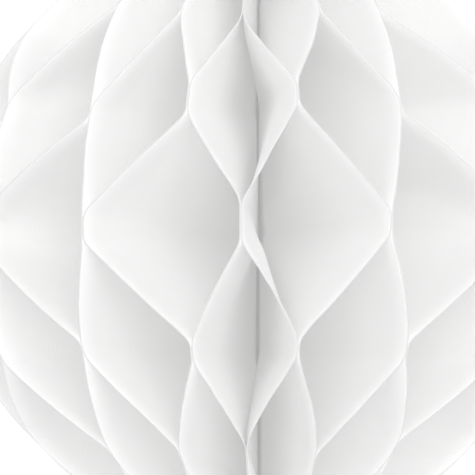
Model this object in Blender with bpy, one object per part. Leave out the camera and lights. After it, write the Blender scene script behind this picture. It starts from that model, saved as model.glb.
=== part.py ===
"""A paper honeycomb ball, opened all the way round, as the pieces that it is made of.

Thin half-disc leaves of tissue stand round a thread on the Z axis. Neighbouring leaves are glued
to each other along level strips, and the strips of one gap lie halfway between the strips of the
next, so each leaf zigzags from gap to gap and the gaps open into diamond cells. Two card covers
close the stack: the fixed one and the swinging one meet at the back, on +Y, where adhesive tabs
hold them together. Turning the swinging cover about Z folds the ball flat.

Azimuth is measured about Z from the front (-Y), positive towards +X.
"""

import math

import bmesh
import bpy
from mathutils import Vector

# Driving dimensions, in metres and radians
BALL_RADIUS = 0.050
LEAF_COUNT = 28
LEAF_THICKNESS = 0.0002
LEAF_INNER_RADIUS = 0.0055  # the bound edge of every leaf, from the axis
LEAF_TIP_WIDTH = 0.0015  # what is left of a leaf's width at the poles
TOUCHING_GAP = 0.0003  # between two glued faces
COVER_THICKNESS = 0.00035
COVER_RADIUS = 0.0496
COVER_INNER_RADIUS = 0.007  # from the axis, so that the covers clear each other when folded
SEAM_GAP = 0.0005  # between the two covers, where the tabs are
TAB_THICKNESS = 0.00015
TAB_WIDTH = 0.007
TAB_HEIGHT = 0.014
TAB_CORNER_RADIUS = 0.0015
TAB_PLACES = (("upper_tab", 0.033, 0.026), ("middle_tab", 0.042, 0.0), ("lower_tab", 0.033, -0.026))
THREAD_RADIUS = 0.0005
THREAD_OVERHANG = 0.0006  # past each pole
KNOT_RADIUS = 0.0013

# Glue strips, level by level away from the middle height. The zigzag draws the strips closer
# together at the rim than at the spine. The opened gaps are wider (+) or narrower (-) than the
# mean at the front and the back, and the other way round at the sides.
STRIP_HEIGHT = 0.0044
LEVEL_HEIGHT_AT_RIM = (0.0, 0.0189, 0.0344)
LEVEL_HEIGHT_AT_SPINE = (0.0, 0.0195, 0.0385)
LEVEL_SPREAD = (math.radians(5.5), math.radians(-13.5), math.radians(-25.0))
FLAP_ROWS = 4  # rows of each free flap, between the last strip and the pole
STATIONS = 3  # points across a leaf, from its bound edge to its rim

GLUE_OFFSET = (TOUCHING_GAP + LEAF_THICKNESS) / 2  # from a glue plane to a leaf's middle
COVER_OFFSET = SEAM_GAP / 2 + COVER_THICKNESS + TOUCHING_GAP + LEAF_THICKNESS / 2
GAP_ANGLE = 2 * math.pi / LEAF_COUNT


def material(name, color, roughness):
    paint = bpy.data.materials.new(name)
    paint.use_nodes = True
    shader = paint.node_tree.nodes["Principled BSDF"]
    shader.inputs["Base Color"].default_value = (*color, 1.0)
    shader.inputs["Roughness"].default_value = roughness
    shader.inputs["Metallic"].default_value = 0.0
    return paint


def add_object(name, bm, paint, smooth=False):
    """Makes the bmesh a scene object whose origin is on the spine axis."""
    mesh = bpy.data.meshes.new(name)
    bm.to_mesh(mesh)
    bm.free()
    if smooth:
        mesh.shade_smooth()
    mesh.materials.append(paint)
    piece = bpy.data.objects.new(name, mesh)
    bpy.context.scene.collection.objects.link(piece)
    return piece


def rim_radius(height):
    return math.sqrt(BALL_RADIUS**2 - height**2)


def gap_azimuth(gap, level):
    """Azimuth of the glue plane of a gap at a level. Gap 0 and the last gap are the back seam."""
    even = -math.pi + gap * GAP_ANGLE
    return even + LEVEL_SPREAD[abs(level)] * math.sin(2 * even) / 2


def glue_place(leaf, gap, level):
    """Azimuth of a leaf against a gap's glue plane, and its middle's offset from that plane."""
    at_seam = gap in (0, LEAF_COUNT)
    offset = COVER_OFFSET if at_seam else GLUE_OFFSET
    return gap_azimuth(gap, level), offset if gap < leaf else -offset


def strip_place(leaf, level):
    """The gap whose strips are at this level has the level's parity."""
    gap = leaf if (leaf - level) % 2 == 0 else leaf - 1
    return glue_place(leaf, gap, level)


def relaxed_place(leaf, level):
    """Between its two glue planes, where nothing holds the leaf."""
    sides = (glue_place(leaf, leaf - 1, level), glue_place(leaf, leaf, level))
    return mix(sides[0], sides[1], 0.5)


def mix(first, second, share):
    return tuple(a + (b - a) * share for a, b in zip(first, second))


def upper_rows(leaf, side):
    """Rows of the half above (side 1) or below (-1) the middle: rim z, spine z, azimuth, offset."""
    rows = []
    for level in range(3):
        place = strip_place(leaf, side * level)
        rim, spine = LEVEL_HEIGHT_AT_RIM[level], LEVEL_HEIGHT_AT_SPINE[level]
        if level > 0:
            low_edge = (rim - STRIP_HEIGHT / 2, spine - STRIP_HEIGHT / 2, *place)
            rows += [mix(rows[-1], low_edge, 0.5), low_edge]
        rows.append((rim + STRIP_HEIGHT / 2, spine + STRIP_HEIGHT / 2, *place))
    tip_radius = LEAF_INNER_RADIUS + LEAF_TIP_WIDTH
    start_angle = math.asin(rows[-1][0] / BALL_RADIUS)
    end_angle = math.acos(tip_radius / BALL_RADIUS)
    last, loose = rows[-1], relaxed_place(leaf, side * 2)
    for step in range(1, FLAP_ROWS + 1):
        share = step / FLAP_ROWS
        rim = BALL_RADIUS * math.sin(start_angle + (end_angle - start_angle) * share)
        lift = (last[1] - last[0]) * (BALL_RADIUS - rim) / (BALL_RADIUS - last[0])
        rows.append((rim, rim + lift, *mix(last[2:], loose, share)))
    return [(side * rim, side * spine, azimuth, offset) for rim, spine, azimuth, offset in rows]


def leaf_rows(leaf):
    """All rows of a leaf, from the bottom pole to the top pole."""
    return upper_rows(leaf, -1)[::-1] + upper_rows(leaf, 1)


def leaf_point(row, share):
    """A point of a row, at a share of the way from the bound edge to the rim."""
    rim_height, spine_height, azimuth, offset = row
    radius = LEAF_INNER_RADIUS + (rim_radius(rim_height) - LEAF_INNER_RADIUS) * share
    height = spine_height + (rim_height - spine_height) * share
    outward = Vector((math.sin(azimuth), -math.cos(azimuth), 0.0))
    sideways = Vector((math.cos(azimuth), math.sin(azimuth), 0.0))
    return outward * radius + sideways * offset + Vector((0.0, 0.0, height))


def make_leaf(leaf, paint):
    rows = leaf_rows(leaf)
    bm = bmesh.new()
    bmesh.ops.create_grid(bm, x_segments=STATIONS - 1, y_segments=len(rows) - 1, size=0.5)
    for vert in bm.verts:
        row = rows[round((vert.co.y + 0.5) * (len(rows) - 1))]
        vert.co = leaf_point(row, vert.co.x + 0.5)
    bmesh.ops.triangulate(bm, faces=bm.faces, quad_method="FIXED")
    piece = add_object(f"leaf_{leaf:02d}", bm, paint)
    sheet = piece.modifiers.new("Sheet", "SOLIDIFY")
    sheet.thickness = LEAF_THICKNESS
    sheet.offset = 0.0


def make_cover(name, inner_x, outer_x, paint):
    """A flat half-disc of card between two x planes, cut straight beside the spine."""
    bm = bmesh.new()
    bmesh.ops.create_circle(bm, cap_ends=True, segments=96, radius=COVER_RADIUS)
    bmesh.ops.bisect_plane(
        bm,
        geom=bm.verts[:] + bm.edges[:] + bm.faces[:],
        plane_co=(0.0, COVER_INNER_RADIUS, 0.0),
        plane_no=(0.0, -1.0, 0.0),
        clear_outer=True,
    )
    stand_up(bm, inner_x, outer_x)
    add_object(name, bm, paint)


def stand_up(bm, from_x, to_x):
    """Turns a face drawn in the XY plane (X is height, Y stays) into a plate between two x planes."""
    for vert in bm.verts:
        vert.co = (from_x, vert.co.y, vert.co.x)
    made = bmesh.ops.extrude_face_region(bm, geom=bm.faces[:])["geom"]
    moved = [item for item in made if isinstance(item, bmesh.types.BMVert)]
    bmesh.ops.translate(bm, verts=moved, vec=(to_x - from_x, 0.0, 0.0))
    bmesh.ops.recalc_face_normals(bm, faces=bm.faces[:])


def make_tab(name, from_axis, height, paint):
    """A thin adhesive tab with round corners, inside the seam."""
    bm = bmesh.new()
    bmesh.ops.create_grid(bm, x_segments=1, y_segments=1, size=0.5)
    for vert in bm.verts:
        vert.co = (vert.co.x * TAB_HEIGHT + height, vert.co.y * TAB_WIDTH + from_axis, 0.0)
    bmesh.ops.bevel(
        bm,
        geom=bm.verts[:],
        offset=TAB_CORNER_RADIUS,
        segments=4,
        profile=0.5,
        affect="VERTICES",
        material=-1,
    )
    first_x = -SEAM_GAP / 2 + (SEAM_GAP - TAB_THICKNESS) / 2
    stand_up(bm, first_x, first_x + TAB_THICKNESS)
    add_object(name, bm, paint)


def make_thread(paint):
    bm = bmesh.new()
    bmesh.ops.create_cone(
        bm,
        cap_ends=True,
        segments=16,
        radius1=THREAD_RADIUS,
        radius2=THREAD_RADIUS,
        depth=2 * (BALL_RADIUS + THREAD_OVERHANG),
    )
    add_object("spine_thread", bm, paint, smooth=True)


def make_knot(name, side, paint):
    bm = bmesh.new()
    bmesh.ops.create_uvsphere(bm, u_segments=16, v_segments=10, radius=KNOT_RADIUS)
    height = BALL_RADIUS + THREAD_OVERHANG + TOUCHING_GAP + KNOT_RADIUS
    bmesh.ops.translate(bm, verts=bm.verts[:], vec=(0.0, 0.0, side * height))
    add_object(name, bm, paint, smooth=True)


for old in list(bpy.data.objects):
    bpy.data.objects.remove(old, do_unlink=True)

tissue = material("tissue", (0.93, 0.93, 0.92), 0.85)
card = material("card", (0.9, 0.9, 0.88), 0.7)
cotton = material("cotton", (0.88, 0.88, 0.86), 0.8)
adhesive = material("adhesive", (0.92, 0.92, 0.88), 0.4)

for number in range(1, LEAF_COUNT + 1):
    make_leaf(number, tissue)
make_cover("cover_fixed", -SEAM_GAP / 2, -SEAM_GAP / 2 - COVER_THICKNESS, card)
make_cover("cover_swing", SEAM_GAP / 2, SEAM_GAP / 2 + COVER_THICKNESS, card)
for tab_name, tab_distance, tab_height in TAB_PLACES:
    make_tab(tab_name, tab_distance, tab_height, adhesive)
make_thread(cotton)
make_knot("top_knot", 1, cotton)
make_knot("bottom_knot", -1, cotton)
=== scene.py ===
# %% [markdown]
# # A paper honeycomb ball
#
# A honeycomb ball is a stack of thin half-disc leaves of tissue, bound along their straight
# edges to one thread. Neighbouring leaves are glued along short level strips, and each gap's
# strips lie halfway between those of the next gap. Opened like a book until its two card
# covers meet back to back, the stack turns into a ball of diamond cells.
#
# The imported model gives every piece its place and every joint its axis. This script builds the
# paper that is seen around that frame: leaves that curve as real tissue does, card, thread and
# knots, and the light in which white paper shades itself.

# %% Load the frame
import math

import bmesh
import bpy
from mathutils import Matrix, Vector, noise


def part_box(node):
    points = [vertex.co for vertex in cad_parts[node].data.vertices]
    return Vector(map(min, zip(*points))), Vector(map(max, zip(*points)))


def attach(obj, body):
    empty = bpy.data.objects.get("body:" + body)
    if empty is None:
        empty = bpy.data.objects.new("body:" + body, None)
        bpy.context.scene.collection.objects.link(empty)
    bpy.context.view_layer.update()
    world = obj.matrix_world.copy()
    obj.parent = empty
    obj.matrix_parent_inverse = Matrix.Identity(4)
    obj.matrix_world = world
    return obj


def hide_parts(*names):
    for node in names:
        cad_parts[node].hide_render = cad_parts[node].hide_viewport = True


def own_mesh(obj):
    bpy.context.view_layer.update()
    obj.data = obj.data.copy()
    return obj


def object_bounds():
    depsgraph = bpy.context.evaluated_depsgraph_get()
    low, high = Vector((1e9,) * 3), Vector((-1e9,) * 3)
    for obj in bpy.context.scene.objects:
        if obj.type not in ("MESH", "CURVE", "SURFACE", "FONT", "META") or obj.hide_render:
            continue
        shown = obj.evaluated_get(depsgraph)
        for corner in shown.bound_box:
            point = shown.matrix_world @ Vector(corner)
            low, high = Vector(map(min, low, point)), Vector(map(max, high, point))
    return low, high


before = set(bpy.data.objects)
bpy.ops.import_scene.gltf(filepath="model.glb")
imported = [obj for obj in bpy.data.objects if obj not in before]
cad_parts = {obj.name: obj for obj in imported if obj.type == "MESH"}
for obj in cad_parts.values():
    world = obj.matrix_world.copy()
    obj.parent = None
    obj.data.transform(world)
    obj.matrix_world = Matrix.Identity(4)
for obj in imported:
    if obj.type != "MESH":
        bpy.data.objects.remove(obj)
cad_low, cad_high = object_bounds()
leaf_nodes = sorted(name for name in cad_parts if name.startswith("leaf_"))
MM = 0.001
print(f"{len(leaf_nodes)} leaves, box {[round(v / MM, 1) for v in cad_high - cad_low]} mm")

# %% [markdown]
# ## The sizes that everything else follows
#
# The card covers stand in the back seam, so the box of one gives the place of its face and of
# its inner edge, and the leaf beside them reaches the full radius of the ball. The glue strips
# sit on five levels. The zigzag shortens the paper at the rim, so the outer levels lie closer
# together there than beside the spine. Glue lines aren't evenly spaced round the ball either. A
# level's spread is twice the furthest that its lines are shifted: away from the front and the
# back where it is above zero, and towards them where it is below.

# %% Measure the ball
BALL_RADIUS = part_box("leaf_01")[1].y
cover_low, cover_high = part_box("cover_swing")
COVER_FACE = cover_high.x  # from the middle of the seam to the face that carries the last leaf
COVER_INNER_EDGE = cover_low.y  # from the axis
THREAD_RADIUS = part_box("spine_thread")[1].x
LEAF_COUNT = len(leaf_nodes)
GAP_ANGLE = 2 * math.pi / LEAF_COUNT
TOP_LEVEL = 2  # glue levels above and below the middle one
LEVEL_HEIGHT_AT_RIM = (0.0, 18.9 * MM, 34.4 * MM)
LEVEL_HEIGHT_AT_SPINE = (0.0, 19.5 * MM, 38.5 * MM)
LEVEL_SPREAD = (math.radians(5.5), math.radians(-13.5), math.radians(-25.0))
STRIP_HEIGHT = 3.4 * MM
print(f"radius {BALL_RADIUS / MM:.1f} mm, a gap every {math.degrees(GAP_ANGLE):.1f} degrees")

# %% [markdown]
# ## The camera
#
# The ball is seen from straight ahead, almost level with its middle, through a long lens: from
# twelve radii away the far side of a cell looks nearly as large as the near side. The camera
# stands a few degrees round to the right of the front glue line, so that the spine shows beside
# the front strip instead of hiding behind it. It is then slid a little to the left and down,
# which puts the ball right of and above the middle of the picture.

# %% Place the camera
CAMERA_DISTANCE = 12 * BALL_RADIUS
CAMERA_AZIMUTH = math.radians(3.0)
CAMERA_ELEVATION = math.radians(-1.8)
FRAME_PER_RADIUS = 0.648  # the ball's outline radius as a share of the picture's width
LOOK_ASIDE = Vector((-3.33 * MM, -0.73 * MM))  # the slide, right and up
SENSOR_WIDTH = 36.0
CLIP_NEAR = 0.01
CLIP_FAR = 20.0

camera_data = bpy.data.cameras.new("camera")
camera_data.sensor_width = SENSOR_WIDTH
outline_slope = BALL_RADIUS / math.sqrt(CAMERA_DISTANCE**2 - BALL_RADIUS**2)
camera_data.lens = SENSOR_WIDTH * FRAME_PER_RADIUS / outline_slope
camera_data.clip_start = CLIP_NEAR
camera_data.clip_end = CLIP_FAR
camera = bpy.data.objects.new("camera", camera_data)
bpy.context.scene.collection.objects.link(camera)
backward = Vector(
    (
        math.sin(CAMERA_AZIMUTH) * math.cos(CAMERA_ELEVATION),
        -math.cos(CAMERA_AZIMUTH) * math.cos(CAMERA_ELEVATION),
        math.sin(CAMERA_ELEVATION),
    )
)
turned = (-backward).to_track_quat("-Z", "Y")
camera.rotation_mode = "QUATERNION"
camera.rotation_quaternion = turned
camera.location = backward * CAMERA_DISTANCE + turned @ LOOK_ASIDE.to_3d()
bpy.context.scene.camera = camera
print(f"a {camera_data.lens:.0f} mm lens, {CAMERA_DISTANCE:.2f} m away")

# %% [markdown]
# ## Shader arithmetic
#
# Procedural paper is mostly arithmetic on noise. Written out as nodes it is hard to read, so a
# small class wraps a socket and lets Python's own operators add the Math nodes.


# %% Wrap sockets and materials
class Wire:
    """A socket in a material. Sums and products with it add Math nodes."""

    def __init__(self, paint, socket):
        self.paint = paint
        self.socket = socket

    def combine(self, operation, first, second):
        return self.paint.add("ShaderNodeMath", {"operation": operation}, {0: first, 1: second})

    def __add__(self, other):
        return self.combine("ADD", self, other)

    def __radd__(self, other):
        return self.combine("ADD", other, self)

    def __sub__(self, other):
        return self.combine("SUBTRACT", self, other)

    def __rsub__(self, other):
        return self.combine("SUBTRACT", other, self)

    def __mul__(self, other):
        return self.combine("MULTIPLY", self, other)

    def __rmul__(self, other):
        return self.combine("MULTIPLY", other, self)


class Paint:
    """A new material whose nodes are added one by one."""

    def __init__(self, name):
        self.material = bpy.data.materials.new(name)
        self.material.use_nodes = True
        self.tree = self.material.node_tree
        self.tree.nodes.clear()

    def add(self, kind, settings=None, inputs=None, output=0):
        """Adds a node, sets it up first, then feeds its sockets with values or wires."""
        node = self.tree.nodes.new(kind)
        for key, value in (settings or {}).items():
            setattr(node, key, value)
        for key, value in (inputs or {}).items():
            if isinstance(value, Wire):
                self.tree.links.new(value.socket, node.inputs[key])
            else:
                node.inputs[key].default_value = value
        return Wire(self, node.outputs[output]) if node.outputs else None

    def mix_colors(self, share, first, second):
        settings = {"data_type": "RGBA"}
        return self.add("ShaderNodeMix", settings, {0: share, 6: first, 7: second}, output=2)

    def bump(self, relief, strength, depth):
        inputs = {"Strength": strength, "Distance": depth, "Height": relief}
        return self.add("ShaderNodeBump", None, inputs)

    def finish(self, surface):
        self.add("ShaderNodeOutputMaterial", None, {"Surface": surface})
        return self.material


# %% [markdown]
# ## The tissue
#
# White tissue is soft and quite dull, with a cloudy look where its fibres are felted more or
# less closely, fine hair-like fibres on its face and tiny crinkles across it. Along the glue
# strips the dried glue makes it a touch smoother and more even in tone. The pattern reads each
# leaf's own flat coordinates, stored as a UV map in metres, so it stays on the paper when the
# ball folds.
#
# Much of the light that falls on tissue passes through it and comes out inside the next cell,
# which is why deep cells stay pale. Following that light through 28 leaves is slow and noisy.
# A faint glow of the paper, painted light, stands for it, which adds up from wall to wall where
# the cells are narrow, just as the light inside them does. The last millimetres before the cut
# edge take in light from both sides and from the fluffy edge itself; that light is painted in
# there too, as a paler colour and a stronger glow.
# The cut itself is a line of loose fibre ends, which shade each other; that shade is painted
# into the cut edge's faces as a greyer colour.


# %% Mix the tissue material
TISSUE_WHITE = (0.96, 0.96, 0.957, 1.0)
TISSUE_THIN = (0.9, 0.9, 0.898, 1.0)
GLUE_GREY = (0.915, 0.915, 0.91, 1.0)
# painted light: the paler colour of the band along the cut edge
RIM_PAINTED_LIGHT_WHITE = (0.975, 0.975, 0.972, 1.0)
# painted shade: a greyer colour on the cut edge's faces for the shade its fibre ends cast on each
# other
CUT_EDGE_PAINTED_SHADE = (0.79, 0.79, 0.787, 1.0)
GLOW_STRENGTH = 0.174
GLOW_INSIDE = (0.58, 0.58, 0.58, 1.0)
GLOW_AT_RIM = (1.0, 1.0, 1.0, 1.0)
CLOUDS_PER_METRE = 420.0
FIBRES_PER_METRE = 2600.0
CRINKLES_PER_METRE = 650.0
FIBRE_STRETCH = (1.0, 0.22, 1.0)  # below 1, the pattern is drawn out along that axis
CRINKLE_STRETCH = (0.35, 1.0, 1.0)
TISSUE_BUMP = 0.08 * MM
TISSUE_BUMP_STRENGTH = 0.7
TISSUE_ROUGHNESS = 0.92
TISSUE_SPECULAR = 0.25
GLUE_TINT = 0.5  # how much of the tissue's own tone the dried glue covers
GLUE_SMOOTHING = 0.18  # how much roughness it takes away
GLUE_FLATTENING = 0.5  # how much of the crinkles it takes away
NOISE_ROUGHNESS = 0.55


def stretched(paint, place, scale):
    """The place, scaled by three factors, as a vector for a texture."""
    return paint.add(
        "ShaderNodeVectorMath", {"operation": "MULTIPLY"}, {0: place, 1: scale}
    )


def cloud(paint, place, scale, detail=2.0):
    settings = {"noise_dimensions": "3D"}
    inputs = {"Vector": place, "Scale": scale, "Detail": detail, "Roughness": NOISE_ROUGHNESS}
    return paint.add("ShaderNodeTexNoise", settings, inputs)


def make_tissue(name, painted_rim_color):
    paint = Paint(name)
    flat = paint.add("ShaderNodeUVMap", {"uv_map": "paper"})
    glue = paint.add("ShaderNodeAttribute", {"attribute_name": "glue"}, output=2)
    # the rim attribute masks painted light along the cut edge, a paler colour and a stronger glow;
    # on the cut edge's own faces it brings that material's painted shade instead, under the same
    # glow
    rim = paint.add("ShaderNodeAttribute", {"attribute_name": "rim"}, output=2)
    felting = cloud(paint, flat, CLOUDS_PER_METRE, 3.0)
    fibres = cloud(paint, stretched(paint, flat, FIBRE_STRETCH), FIBRES_PER_METRE)
    crinkles = cloud(paint, stretched(paint, flat, CRINKLE_STRETCH), CRINKLES_PER_METRE)
    body = paint.mix_colors(felting, TISSUE_WHITE, TISSUE_THIN)
    glued = paint.mix_colors(glue * GLUE_TINT, body, GLUE_GREY)
    relief = fibres * 0.5 + crinkles * 0.5 * (1.0 - glue * GLUE_FLATTENING)
    bump = paint.bump(relief, TISSUE_BUMP_STRENGTH, TISSUE_BUMP)
    sheet = paint.add(
        "ShaderNodeBsdfPrincipled",
        None,
        {
            "Base Color": paint.mix_colors(rim, glued, painted_rim_color),
            "Roughness": TISSUE_ROUGHNESS - glue * GLUE_SMOOTHING,
            "Specular IOR Level": TISSUE_SPECULAR,
            "Emission Color": paint.mix_colors(rim, GLOW_INSIDE, GLOW_AT_RIM),
            "Emission Strength": GLOW_STRENGTH,
            "Normal": bump,
        },
    )
    return paint.finish(sheet)


tissue = make_tissue("white_tissue", RIM_PAINTED_LIGHT_WHITE)
cut_edge = make_tissue("cut_tissue_edge_painted_shade", CUT_EDGE_PAINTED_SHADE)
print(f"tissue: {len(tissue.node_tree.nodes)} nodes")

# %% [markdown]
# ## Where the glue lines run
#
# Gap 0 and the last gap are the back seam; gap 14 faces the camera. A gap is glued on every
# other level: even gaps on the middle and the outer levels, odd gaps between them. The ball is
# opened by hand, so its gaps are wider than the mean at the front and the back of the middle
# level and narrower on the outer levels, and no two glue lines are quite alike. The lines that
# face the camera are listed one by one; the others wander a little by a fixed noise.

# %% Place the glue lines
WANDER_TURN = math.radians(0.9)
WANDER_LIFT = 0.7 * MM
WANDER_STRIP = 0.9 * MM
WANDER_BOW = 0.8 * MM
WANDER_GAIN = 1.6  # brings the noise to about -1 to 1
WANDER_STEPS = (1.37, 2.71, 5.3)  # in the noise, from one gap, level and kind to the next
WANDER_START = 0.5
# (gap, level): turn in degrees, lift, strip height and sideways bow in mm
HAND_SET = {
    (10, 2): (4.8, 1.5, 3.0, 0.4),
    (12, 2): (0.2, -0.1, 3.4, 1.2),
    (14, 2): (-0.8, -1.0, 3.0, -0.6),
    (16, 2): (1.6, 0.2, 3.4, -0.8),
    (18, 2): (-6.2, 0.6, 3.0, -0.4),
    (9, 1): (3.5, -0.7, 3.0, 0.3),
    (11, 1): (1.6, -1.7, 2.2, 0.8),
    (13, 1): (-0.6, 0.2, 5.0, 1.7),
    (15, 1): (0.3, 0.9, 3.6, -1.5),
    (17, 1): (-1.5, -0.8, 2.4, -0.8),
    (10, 0): (-4.0, -0.4, 3.0, 0.3),
    (12, 0): (-1.6, -0.5, 4.4, 0.6),
    (14, 0): (-0.2, 0.1, 6.2, 0.9),
    (16, 0): (-1.4, 0.2, 3.6, -0.6),
    (11, -1): (-0.8, 0.0, 2.4, 0.6),
    (13, -1): (0.1, -0.6, 3.2, 1.3),
    (15, -1): (0.3, 0.1, 2.4, -0.5),
    (17, -1): (0.0, -0.2, 2.8, -0.7),
    (10, -2): (2.0, -1.5, 3.0, 0.4),
    (12, -2): (-1.1, -1.4, 3.0, 0.9),
    (14, -2): (-0.1, -1.9, 5.0, 0.3),
    (16, -2): (1.4, -1.9, 3.0, -0.9),
    (18, -2): (-1.0, 0.2, 3.0, -0.5),
}
# (gap, level): the extra bow at a strip's top end; its bottom end gets the opposite
STRIP_LEAN = {(14, 0): -1.2 * MM, (14, -2): -0.8 * MM}


def wander(gap, level, kind):
    """A number from about -1 to 1 that is fixed for each glue line and kind."""
    by_gap, by_level, by_kind = WANDER_STEPS
    spot = Vector((gap * by_gap, level * by_level, kind * by_kind + WANDER_START))
    return WANDER_GAIN * noise.noise(spot)


def glue_line(gap, level):
    """A glue line's azimuth, its height at the rim, its strip's height, its bow and its lean."""
    even = -math.pi + gap * GAP_ANGLE
    azimuth = even + LEVEL_SPREAD[abs(level)] * math.sin(2 * even) / 2
    height = math.copysign(LEVEL_HEIGHT_AT_RIM[abs(level)], level)
    if gap in (0, LEAF_COUNT):
        return azimuth, height, STRIP_HEIGHT, 0.0, 0.0
    if (gap, level) in HAND_SET:
        turn, lift, strip, bow = HAND_SET[gap, level]
        lean = STRIP_LEAN.get((gap, level), 0.0)
        return azimuth + math.radians(turn), height + lift * MM, strip * MM, bow * MM, lean
    return (
        azimuth + WANDER_TURN * wander(gap, level, 0),
        height + WANDER_LIFT * wander(gap, level, 1),
        STRIP_HEIGHT + WANDER_STRIP * wander(gap, level, 2),
        WANDER_BOW * wander(gap, level, 4),
        0.0,
    )


print(f"front line at {math.degrees(glue_line(LEAF_COUNT // 2, 0)[0]):.1f} degrees")

# %% [markdown]
# ## How a leaf of paper crosses from line to line
#
# On a glue strip a leaf lies flat in the half-plane of that strip. Between two strips it has to
# swing round to the next one. Tissue hardly stretches, so it can't make the evenly twisted
# surface that a rubber sheet would: it forms a soft crease from the inner end of one strip to
# the outer end of the other, flat on both sides. Which of the two diagonals it takes differs
# from panel to panel, and some panels stay nearly even. The crease number of a panel goes from
# -1, one diagonal, through 0, evenly twisted, to 1, the other.

# %% Describe one leaf
LEAF_INNER_RADIUS = THREAD_RADIUS * 0.97  # the sewn edge touches the thread
LEAF_TIP_RADIUS = 2.7 * MM  # how far from the axis the round rim ends at the poles
SHEET_THICKNESS = 0.26 * MM  # at the rim, where the cut edge is fluffy; thinner inwards
THINNING = 1.5  # the power of the radius that the thickness follows
THINNEST_SHARE = 0.04
GLUED_OFFSET = 0.14 * MM  # at the rim, from the glue line's half-plane to the middle of the sheet
SEAM_OFFSET = COVER_FACE + 0.16 * MM  # the same for a leaf that lies on a cover
SEAM_FULL_RADIUS = COVER_INNER_EDGE - 0.5 * MM  # nearer the axis there is no cover to clear
CREASE_SOFTNESS = 0.15
CREASE_GAIN = 1.4  # above 1, more panels crease clearly
CREASE_LIMIT = 0.9
CREASE_START = 0.02  # nearer the spine than this share of the radius, a crease doesn't change
BOW_AT = 0.72  # where a bowed strip is furthest to the side, as a share of the radius
BOW_SOFTNESS = 0.35
BOW_FULL_RADIUS = 16 * MM  # nearer the axis, and so towards the poles, there is less room to bow
STRIP_AT_SPINE = 0.1  # the held height of a strip beside the spine, as a share of its height
BEND_SAMPLES = tuple(step * 0.35 * MM for step in (-2, -1, 0, 1, 2))
FRONT_CREASES = {
    (15, 1): 0.95,
    (15, 0): -0.1,
    (15, -1): -0.95,
    (15, -2): -1.0,
    (14, 0): -0.7,
    (14, 1): 0.2,
    (14, -1): -0.3,
    (14, -2): -0.8,
}


def soft_min(value, limit, softness):
    near = max(softness - abs(value - limit), 0.0)
    return min(value, limit) - near * near / (4 * softness)


def thickness_share(radius):
    return max(THINNEST_SHARE, min(1.0, (radius / BALL_RADIUS) ** THINNING))


def bow_profile(share):
    """A bowed strip's sideways place from spine (0) to rim (0), with its peak (1) in between."""
    return soft_min(share / BOW_AT, (1.0 - share) / (1.0 - BOW_AT), BOW_SOFTNESS)


def turn_share(rise, share, crease):
    """How far round from the lower strip to the upper one the sheet is at a rise between them."""
    share = max(share, CREASE_START)
    way = rise if crease > 0 else 1.0 - rise
    whole = soft_min(1.0 / share, 1.0, CREASE_SOFTNESS)
    bent = soft_min(way / share, 1.0, CREASE_SOFTNESS) / whole
    even = rise
    folded = bent if crease > 0 else 1.0 - bent
    return even + (folded - even) * abs(crease)


def panel_crease(leaf, level):
    """The crease number of the panel that rises from this level to the next."""
    if (leaf, level) in FRONT_CREASES:
        return FRONT_CREASES[leaf, level]
    crease = CREASE_GAIN * wander(leaf + 0.5, level, 3)
    return max(-CREASE_LIMIT, min(CREASE_LIMIT, crease))


def side_of(leaf, gap):
    """1 for the gap before the leaf, -1 for the gap after it."""
    return 1.0 if gap < leaf else -1.0


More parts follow.
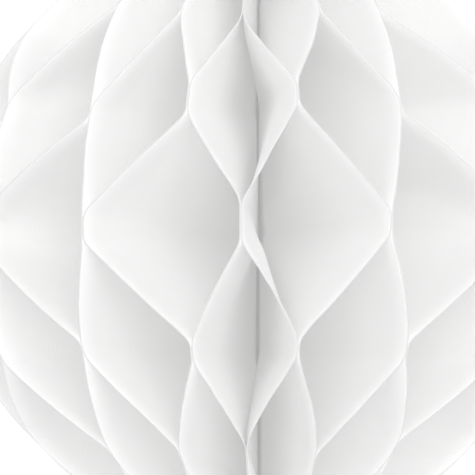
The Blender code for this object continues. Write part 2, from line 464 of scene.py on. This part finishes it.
class Leaf:
    """The shape of one leaf: its strips from the bottom up, and where it is between them."""

    def __init__(self, number):
        self.number = number
        self.strips = []
        for level in range(-TOP_LEVEL, TOP_LEVEL + 1):
            gap = number if (number - level) % 2 == 0 else number - 1
            self.strips.append((gap, *glue_line(gap, level)))

    def place_on(self, strip, height, share, radius):
        """The sheet's azimuth on a glue line, and how far to the side of its half-plane it is."""
        gap, azimuth, middle, strip_height, bow, lean = strip
        above = max(-1.0, min(1.0, 2 * (height - middle) / strip_height))
        bow += lean * above
        side = side_of(self.number, gap)
        offset = GLUED_OFFSET * thickness_share(radius)
        if gap in (0, LEAF_COUNT):
            offset = max(offset, SEAM_OFFSET * min(1.0, radius / SEAM_FULL_RADIUS))
        room = min(1.0, radius / BOW_FULL_RADIUS)
        return azimuth, side * offset + bow * bow_profile(share) * room

    def relaxed(self, level, height, share, radius):
        """Halfway between the two gaps, where nothing holds the sheet."""
        sides = [(gap, *glue_line(gap, level)) for gap in (self.number - 1, self.number)]
        places = [self.place_on(side, height, share, radius) for side in sides]
        return tuple((a + b) / 2 for a, b in zip(*places))

    def sharp_place(self, height, share, radius):
        """Azimuth, side offset and freedom (0 on glue, 1 midway) with hard folds."""
        strips = self.strips
        held = (STRIP_AT_SPINE + (1 - STRIP_AT_SPINE) * share) / 2
        for index, strip in enumerate(strips):
            low, high = strip[2] - strip[3] * held, strip[2] + strip[3] * held
            if height < low:
                upper = self.place_on(strip, height, share, radius)
                if index == 0:
                    loose = self.relaxed(-TOP_LEVEL, height, share, radius)
                    rise = (height + BALL_RADIUS) / (low + BALL_RADIUS)
                    return self.between(loose, upper, max(rise, 0.0))
                before = strips[index - 1]
                start = before[2] + before[3] * held
                rise = (height - start) / (low - start)
                crease = panel_crease(self.number, index - 1 - TOP_LEVEL)
                turned = turn_share(rise, share, crease)
                lower = self.place_on(before, height, share, radius)
                return self.between(lower, upper, turned)
            if height <= high:
                return (*self.place_on(strip, height, share, radius), 0.0)
        lower = self.place_on(strips[-1], height, share, radius)
        start = strips[-1][2] + strips[-1][3] * held
        rise = (height - start) / (BALL_RADIUS - start)
        loose = self.relaxed(TOP_LEVEL, height, share, radius)
        return self.between(lower, loose, min(rise, 1.0))

    @staticmethod
    def between(first, second, share):
        mixed = tuple(a + (b - a) * share for a, b in zip(first, second))
        return (*mixed, 4 * share * (1 - share))

    def place(self, height, share, radius):
        """The same with folds rounded, as the mean of a few heights nearby."""
        found = [self.sharp_place(height + step, share, radius) for step in BEND_SAMPLES]
        return tuple(sum(values) / len(found) for values in zip(*found))


print(f"leaf 15 creases: {[round(panel_crease(15, level), 2) for level in range(-2, 2)]}")

# %% [markdown]
# ## Making the leaves
#
# Each leaf starts as a flat grid. Every row of it runs from the spine to the rim, with its
# points closer together towards the rim, where the paper shows its edge, and each point is laid
# at the place found above.
# Then the free parts of the sheet get a slight flutter, and its cut edge wobbles a little, as
# thin tissue does. A Solidify modifier gives it its thickness. The grid's own row and column
# become the flat coordinates that the tissue pattern reads.
#
# When the ball is closed, its leaves turn about the spine until they lie between the covers,
# and each one flattens as it goes. The squash takes each leaf to its own place in that stack.
# All leaves meet at the spine, so a sheet that is thinner towards it leaves them room there.

# %% Build the leaves
COLUMNS = 22
ROWS = 190
RIM_CROWDING = 1.5  # above 1, columns crowd towards the rim
FLUTTER = 0.35 * MM
FLUTTER_SIZE = 9 * MM
EDGE_WOBBLE = 0.10 * MM
EDGE_REACH = 1.6 * MM
EDGE_WAVE = 2.2 * MM
EDGE_FREEDOM = 3  # how soon beyond a glue strip the cut edge is free to wobble
GLUE_FADE = 8  # how soon beyond a strip the dried glue ends
# painted light: the band along the cut edge that is painted paler and glows more
RIM_PAINTED_LIGHT_BAND = 4.0 * MM  # the width of the paler band along the cut edge
RIM_PAINTED_LIGHT_FADE = 1.5  # above 1, the band fades faster beside the edge
FLUTTER_STEP = 31 * MM  # from leaf to leaf, so that no two flutter alike
PATTERN_STEP = 173 * MM  # from leaf to leaf, so that no two show the same stretch of tissue


def lift_at_spine(height):
    """How much further from the middle a row starts at the spine than it ends at the rim."""
    knots = list(zip(LEVEL_HEIGHT_AT_RIM, LEVEL_HEIGHT_AT_SPINE)) + [(BALL_RADIUS, BALL_RADIUS)]
    away = abs(height)
    for (low, low_spine), (high, high_spine) in zip(knots, knots[1:]):
        if away <= high:
            share = (away - low) / (high - low)
            lift = (low_spine - low) + ((high_spine - high) - (low_spine - low)) * share
            return math.copysign(lift, height)
    return 0.0


def leaf_point(leaf, row_share, column_share):
    """A point of the leaf, its flat coordinates, its share of glue and its share of painted rim
    light.
    """
    top_angle = math.acos(LEAF_TIP_RADIUS / BALL_RADIUS)
    rim_height = BALL_RADIUS * math.sin(top_angle * (2 * row_share - 1))
    rim = math.sqrt(BALL_RADIUS**2 - rim_height**2)
    share = 1 - (1 - column_share) ** RIM_CROWDING
    radius = LEAF_INNER_RADIUS + (rim - LEAF_INNER_RADIUS) * share
    height = rim_height + lift_at_spine(rim_height) * (1 - share)
    azimuth, offset, freedom = leaf.place(rim_height, share, radius)
    spot = Vector((radius, rim_height, leaf.number * FLUTTER_STEP))
    ripple = noise.noise(spot / FLUTTER_SIZE) * FLUTTER * freedom * radius / BALL_RADIUS
    edge = max(0.0, 1 - (rim - radius) / EDGE_REACH) ** 2
    wobble = noise.noise(spot / EDGE_WAVE) * EDGE_WOBBLE * edge * min(1.0, EDGE_FREEDOM * freedom)
    outward = Vector((math.sin(azimuth), -math.cos(azimuth), 0.0))
    sideways = Vector((math.cos(azimuth), math.sin(azimuth), 0.0))
    point = outward * radius + sideways * (offset + ripple + wobble)
    point.z = height
    flat = (radius + leaf.number * PATTERN_STEP, rim_height)
    # the share of painted rim light at this point
    rim_light_share = max(0.0, 1 - (rim - radius) / RIM_PAINTED_LIGHT_BAND) ** RIM_PAINTED_LIGHT_FADE
    return point, flat, 1.0 - min(1.0, GLUE_FADE * freedom), rim_light_share


def new_piece(name, bm, material, body):
    mesh = bpy.data.meshes.new(name)
    bm.to_mesh(mesh)
    bm.free()
    mesh.materials.append(material)
    piece = bpy.data.objects.new(name, mesh)
    bpy.context.scene.collection.objects.link(piece)
    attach(piece, body)
    return piece


def make_leaf(number):
    leaf = Leaf(number)
    bm = bmesh.new()
    bmesh.ops.create_grid(bm, x_segments=COLUMNS, y_segments=ROWS, size=0.5)
    flat_layer = bm.loops.layers.uv.new("paper")
    glue_layer = bm.verts.layers.float.new("glue")
    rim_light_layer = bm.verts.layers.float.new("rim")
    thickness_layer = bm.verts.layers.deform.verify()
    flats = {}
    for vert in bm.verts:
        column_share, row_share = vert.co.x + 0.5, vert.co.y + 0.5
        found = leaf_point(leaf, row_share, column_share)
        vert.co, flats[vert], vert[glue_layer], vert[rim_light_layer] = found
        vert[thickness_layer][0] = thickness_share(math.hypot(vert.co.x, vert.co.y))
    for face in bm.faces:
        face.smooth = True
        for loop in face.loops:
            loop[flat_layer].uv = flats[loop.vert]
    name = f"leaf_{number:02d}"
    piece = new_piece(f"tissue_{name}", bm, tissue, name)
    piece.data.materials.append(cut_edge)
    sheet = piece.modifiers.new("thickness", "SOLIDIFY")
    sheet.thickness = SHEET_THICKNESS
    sheet.offset = 0.0
    sheet.vertex_group = piece.vertex_groups.new(name="thick").name
    sheet.thickness_vertex_group = 0.0
    # the cut edge's faces take the second material, with its painted shade
    sheet.material_offset_rim = 1
    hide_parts(name)
    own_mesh(piece)
    return piece


leaves = [make_leaf(number) for number in range(1, LEAF_COUNT + 1)]
print(f"{len(leaves)} leaves of {len(leaves[0].data.polygons)} faces each")

# %% [markdown]
# ## The covers and the tabs between them
#
# The two covers are half-discs of white card that stand back to back in the seam, and three
# small tabs of double-sided tape hold them together. Flat card and flat tape are already right
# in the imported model, so they keep their solids and only get a finish. Card is felted pulp with
# darker specks; the tape is milky, with a faint cross-wise grain.

# %% Finish the covers and tabs
CARD_WHITE = (0.86, 0.86, 0.845, 1.0)
CARD_SHADE = (0.78, 0.78, 0.76, 1.0)
SPECK_BROWN = (0.55, 0.5, 0.44, 1.0)
TAPE_PALE = (0.84, 0.82, 0.74, 1.0)
TAPE_DARK = (0.76, 0.73, 0.63, 1.0)
COAT_SPECULAR = 0.3
COAT_BUMP_STRENGTH = 0.6
# painted light: a faint glow for the little light that passes through the card
CARD_GLOW = 0.04  # card lets little light through
CARD_BUMP = 0.03 * MM
PULP_PER_METRE = 900.0
FINE_PULP_PER_METRE = 5000.0
SPECKS_PER_METRE = 1600.0
SPECK_THRESHOLD = 0.74  # higher leaves fewer specks
SPECK_TINT = 0.35
TAPE_BUMP = 0.01 * MM
GRAIN_PER_METRE = 4000.0
GRAIN_STRETCH = (1.0, 1.0, 0.1)


# glow: painted light, a faint emission that stands for light passing through the material
def dull_coat(paint, color, roughness, relief, depth, glow=0.0):
    inputs = {
        "Base Color": color,
        "Roughness": roughness,
        "Specular IOR Level": COAT_SPECULAR,
        "Emission Color": (1.0, 1.0, 1.0, 1.0),
        "Emission Strength": glow,
        "Normal": paint.bump(relief, COAT_BUMP_STRENGTH, depth),
    }
    return paint.finish(paint.add("ShaderNodeBsdfPrincipled", None, inputs))


def make_card():
    paint = Paint("white_card")
    place = paint.add("ShaderNodeTexCoord", output=3)
    pulp = cloud(paint, place, PULP_PER_METRE, 4.0)
    fine = cloud(paint, place, FINE_PULP_PER_METRE)
    spots = cloud(paint, place, SPECKS_PER_METRE)
    specks = spots.combine("GREATER_THAN", spots, SPECK_THRESHOLD)
    body = paint.mix_colors(pulp, CARD_WHITE, CARD_SHADE)
    color = paint.mix_colors(specks * SPECK_TINT, body, SPECK_BROWN)
    relief = pulp * 0.6 + fine * 0.4
    return dull_coat(paint, color, 0.7 + pulp * 0.2, relief, CARD_BUMP, CARD_GLOW)


def make_tape():
    paint = Paint("milky_tape")
    place = paint.add("ShaderNodeTexCoord", output=3)
    grain = cloud(paint, stretched(paint, place, GRAIN_STRETCH), GRAIN_PER_METRE)
    color = paint.mix_colors(grain, TAPE_PALE, TAPE_DARK)
    return dull_coat(paint, color, 0.35 + grain * 0.2, grain, TAPE_BUMP)


def finish_node(name, material):
    slots = bpy.data.objects[name].material_slots
    if not slots:
        bpy.data.objects[name].data.materials.append(material)
    for slot in slots:
        slot.material = material


card = make_card()
tape = make_tape()
for name in ("cover_fixed", "cover_swing"):
    finish_node(name, card)
tabs = sorted(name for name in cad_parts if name.endswith("_tab"))
for name in tabs:
    finish_node(name, tape)
print(f"2 covers and {len(tabs)} tabs")

# %% [markdown]
# ## The thread
#
# The leaves are sewn along their straight edges by a three-ply cotton thread. Its profile is a
# circle pressed in between three lobes. Spinning that profile about its own axis while it moves up
# gives the lay of the plies in one step.

# %% Twist the thread
COTTON_WHITE = (0.92, 0.92, 0.91, 1.0)
COTTON_SHADE = (0.82, 0.82, 0.805, 1.0)
PLIES = 3
PLY_DEPTH = 0.1  # half the depth of the grooves between the plies, as a share of the radius
THREAD_SIDES = 18
THREAD_LAY = 2.4 * MM
STEPS_PER_LAY = 12
END_NORMAL = 0.9  # a face that points along the thread more than this is one of its flat ends
# painted light: a faint glow that stands for light passing through the cotton
COTTON_GLOW = 0.08
COTTON_BUMP = 0.02 * MM
LINT_PER_METRE = 9000.0
LINT_STRETCH = (1.0, 1.0, 0.35)


def make_cotton():
    paint = Paint("white_cotton")
    place = paint.add("ShaderNodeTexCoord", output=3)
    lint = cloud(paint, stretched(paint, place, LINT_STRETCH), LINT_PER_METRE, 3.0)
    color = paint.mix_colors(lint, COTTON_WHITE, COTTON_SHADE)
    return dull_coat(paint, color, 0.85 + lint * 0.1, lint, COTTON_BUMP, COTTON_GLOW)


def lobed(angle):
    return THREAD_RADIUS * (1 - PLY_DEPTH + PLY_DEPTH * math.cos(PLIES * angle))


def make_thread():
    low, high = (corner.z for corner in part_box("spine_thread"))
    turns = (high - low) / THREAD_LAY
    bm = bmesh.new()
    ring = bmesh.ops.create_circle(bm, segments=THREAD_SIDES, radius=THREAD_RADIUS, cap_ends=True)
    for vert in ring["verts"]:
        vert.co = vert.co.normalized() * lobed(math.atan2(vert.co.y, vert.co.x))
        vert.co.z = low
    steps = round(turns * STEPS_PER_LAY)
    bmesh.ops.spin(
        bm,
        geom=bm.faces[:],
        cent=(0.0, 0.0, 0.0),
        axis=(0.0, 0.0, 1.0),
        dvec=(0.0, 0.0, (high - low) / steps),
        angle=turns * 2 * math.pi,
        steps=steps,
        use_merge=False,
    )
    bmesh.ops.recalc_face_normals(bm, faces=bm.faces[:])
    for face in bm.faces:
        face.smooth = abs(face.normal.z) < END_NORMAL
    thread = new_piece("twisted_thread", bm, cotton, "core")
    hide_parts("spine_thread")
    print(f"{turns:.0f} turns of {PLIES} plies, {len(thread.data.polygons)} faces")


cotton = make_cotton()
make_thread()

# %% [markdown]
# ## The end knots
#
# At each pole the thread ends in an overhand knot. Pulled tight, an overhand knot is close to a
# trefoil: a line that goes round its axis twice while it goes up and down three times. A poly
# curve through points of that formula, with a round bevel, makes it.

# %% Tie the knots
KNOT_POINTS = 72
KNOT_CORD_SHARE = 0.27  # the cord's radius as a share of the knot's
KNOT_HEIGHT_SHARE = 0.62


def knot_point(turn):
    """A point of a trefoil about Z that reaches 1 unit from its middle, across and up."""
    across = math.sin(turn) + 2 * math.sin(2 * turn)
    along = math.cos(turn) - 2 * math.cos(2 * turn)
    return across / 3, along / 3, -math.sin(3 * turn)


def make_knot(node):
    low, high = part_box(node)
    middle = (low + high) / 2
    knot_radius = (high.z - low.z) / 2
    reach = knot_radius * (1 - KNOT_CORD_SHARE)
    curve = bpy.data.curves.new(node, "CURVE")
    curve.dimensions = "3D"
    curve.bevel_depth = knot_radius * KNOT_CORD_SHARE
    curve.bevel_resolution = 4
    line = curve.splines.new("POLY")
    line.points.add(KNOT_POINTS - 1)
    for index, point in enumerate(line.points):
        across, along, up = knot_point(2 * math.pi * index / KNOT_POINTS)
        spot = Vector((across, along, up * KNOT_HEIGHT_SHARE)) * reach + middle
        point.co = (*spot, 1.0)
    line.use_cyclic_u = True
    shape = bpy.data.objects.new(f"{node}_line", curve)
    bpy.context.scene.collection.objects.link(shape)
    bpy.context.view_layer.update()
    bm = bmesh.new()
    bm.from_mesh(shape.to_mesh())
    bpy.data.objects.remove(shape)
    for face in bm.faces:
        face.smooth = True
    knot = new_piece(f"tied_{node}", bm, cotton, "core")
    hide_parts(node)
    return knot


knots = [make_knot(name) for name in sorted(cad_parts) if name.endswith("knot")]
print(f"{len(knots)} knots of {len(knots[0].data.polygons)} faces")

# %% [markdown]
# ## Light, floor and background
#
# White paper on a white ground is lit almost evenly: the only shading comes from how much of
# the surroundings each surface sees. So the world is plain white and dims to about half towards
# the ceiling, so that upward faces stay below pure white. One large soft light, behind the camera
# and above it to the right, fills the fronts of the cells. The floor is wide, pale and matt.

# %% Light the scene
FLOOR_DROP = 90 * MM
FLOOR_SIZE = 5.6
WALL_LIGHT = 1.06  # the brightness of the room at eye level
CEILING_LIGHT = 0.51
FLOOR_WHITE = (0.9, 0.9, 0.9, 1.0)
FLOOR_ROUGHNESS = 0.8
SOFTBOX_PLACE = (0.6, -3.0, 0.9)
SOFTBOX_SIZE = 2.0
SOFTBOX_POWER = 16.5


def make_floor():
    paint = Paint("pale_floor")
    inputs = {"Base Color": FLOOR_WHITE, "Roughness": FLOOR_ROUGHNESS}
    surface = paint.add("ShaderNodeBsdfPrincipled", None, inputs)
    bm = bmesh.new()
    bmesh.ops.create_grid(bm, x_segments=1, y_segments=1, size=FLOOR_SIZE / 2)
    bmesh.ops.translate(bm, verts=bm.verts[:], vec=(0.0, 0.0, cad_low.z - FLOOR_DROP))
    mesh = bpy.data.meshes.new("floor")
    bm.to_mesh(mesh)
    bm.free()
    mesh.materials.append(paint.finish(surface))
    floor = bpy.data.objects.new("floor", mesh)
    bpy.context.scene.collection.objects.link(floor)


def make_light(name, place, size, power):
    data = bpy.data.lights.new(name, "AREA")
    data.shape = "DISK"
    data.size = size
    data.energy = power
    light = bpy.data.objects.new(name, data)
    light.location = place
    light.rotation_mode = "QUATERNION"
    light.rotation_quaternion = (-Vector(place)).to_track_quat("-Z", "Y")
    bpy.context.scene.collection.objects.link(light)


def make_world():
    world = bpy.data.worlds.new("white_room")
    world.use_nodes = True
    nodes, links = world.node_tree.nodes, world.node_tree.links
    ray = nodes.new("ShaderNodeTexCoord")
    parts = nodes.new("ShaderNodeSeparateXYZ")
    height = nodes.new("ShaderNodeMapRange")
    height.inputs["To Min"].default_value = WALL_LIGHT
    height.inputs["To Max"].default_value = CEILING_LIGHT
    links.new(ray.outputs["Generated"], parts.inputs["Vector"])
    links.new(parts.outputs["Z"], height.inputs["Value"])
    links.new(height.outputs["Result"], nodes["Background"].inputs["Strength"])
    nodes["Background"].inputs["Color"].default_value = (1.0, 1.0, 1.0, 1.0)
    bpy.context.scene.world = world
    bpy.context.scene.view_settings.view_transform = "Standard"


make_floor()
make_light("front_softbox", SOFTBOX_PLACE, SOFTBOX_SIZE, SOFTBOX_POWER)
make_world()
print("one softbox in a white room")
